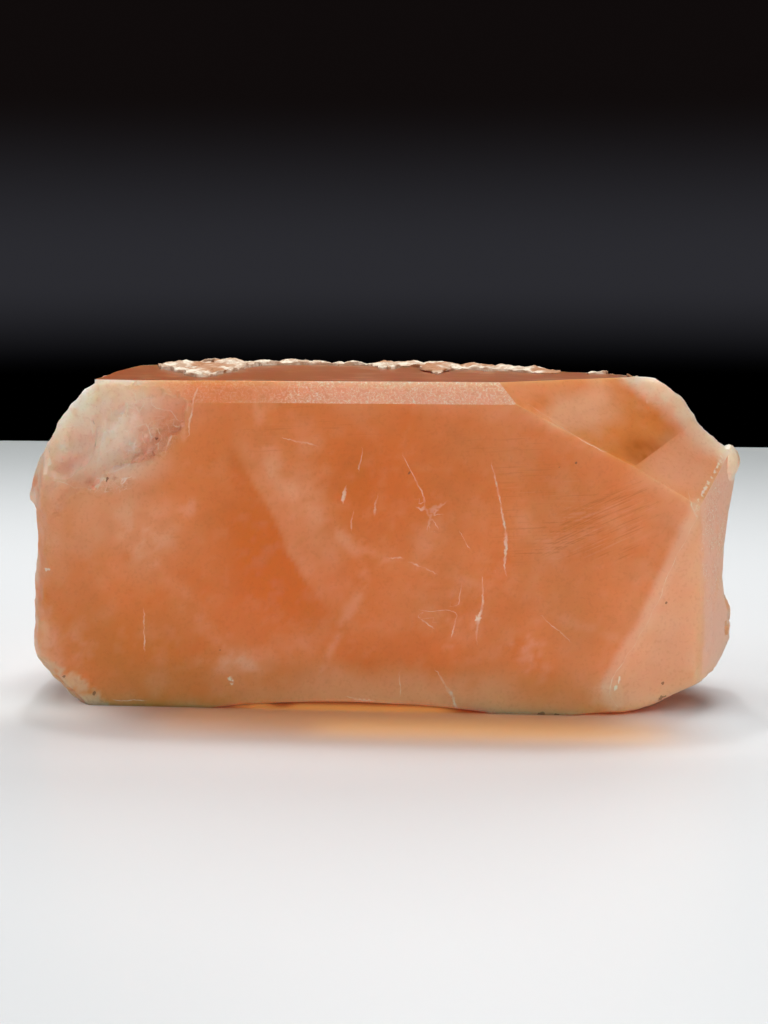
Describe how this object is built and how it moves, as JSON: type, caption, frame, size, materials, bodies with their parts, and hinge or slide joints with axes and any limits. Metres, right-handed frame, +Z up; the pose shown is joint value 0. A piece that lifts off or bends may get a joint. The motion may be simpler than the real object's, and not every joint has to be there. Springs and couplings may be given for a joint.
{
  "type": "morganite specimen",
  "caption": "Stout block of translucent pink-orange morganite with flat faces in front and broken ends behind, lying on a flat break, with a cream crust along its top back edge.",
  "frame": {"origin": "middle of the footprint, on the flat base", "axes": "+Z up, +X along the length towards the bevelled right end, the broad flat face to -Y"},
  "size_m": [0.1136, 0.0476, 0.0537],
  "materials": {
    "morganite": "satin",
    "albite_crust": "matte"
  },
  "bodies": {
    "root": {"crystal": "morganite", "back_crust": "albite_crust"}
  },
  "joints": []
}
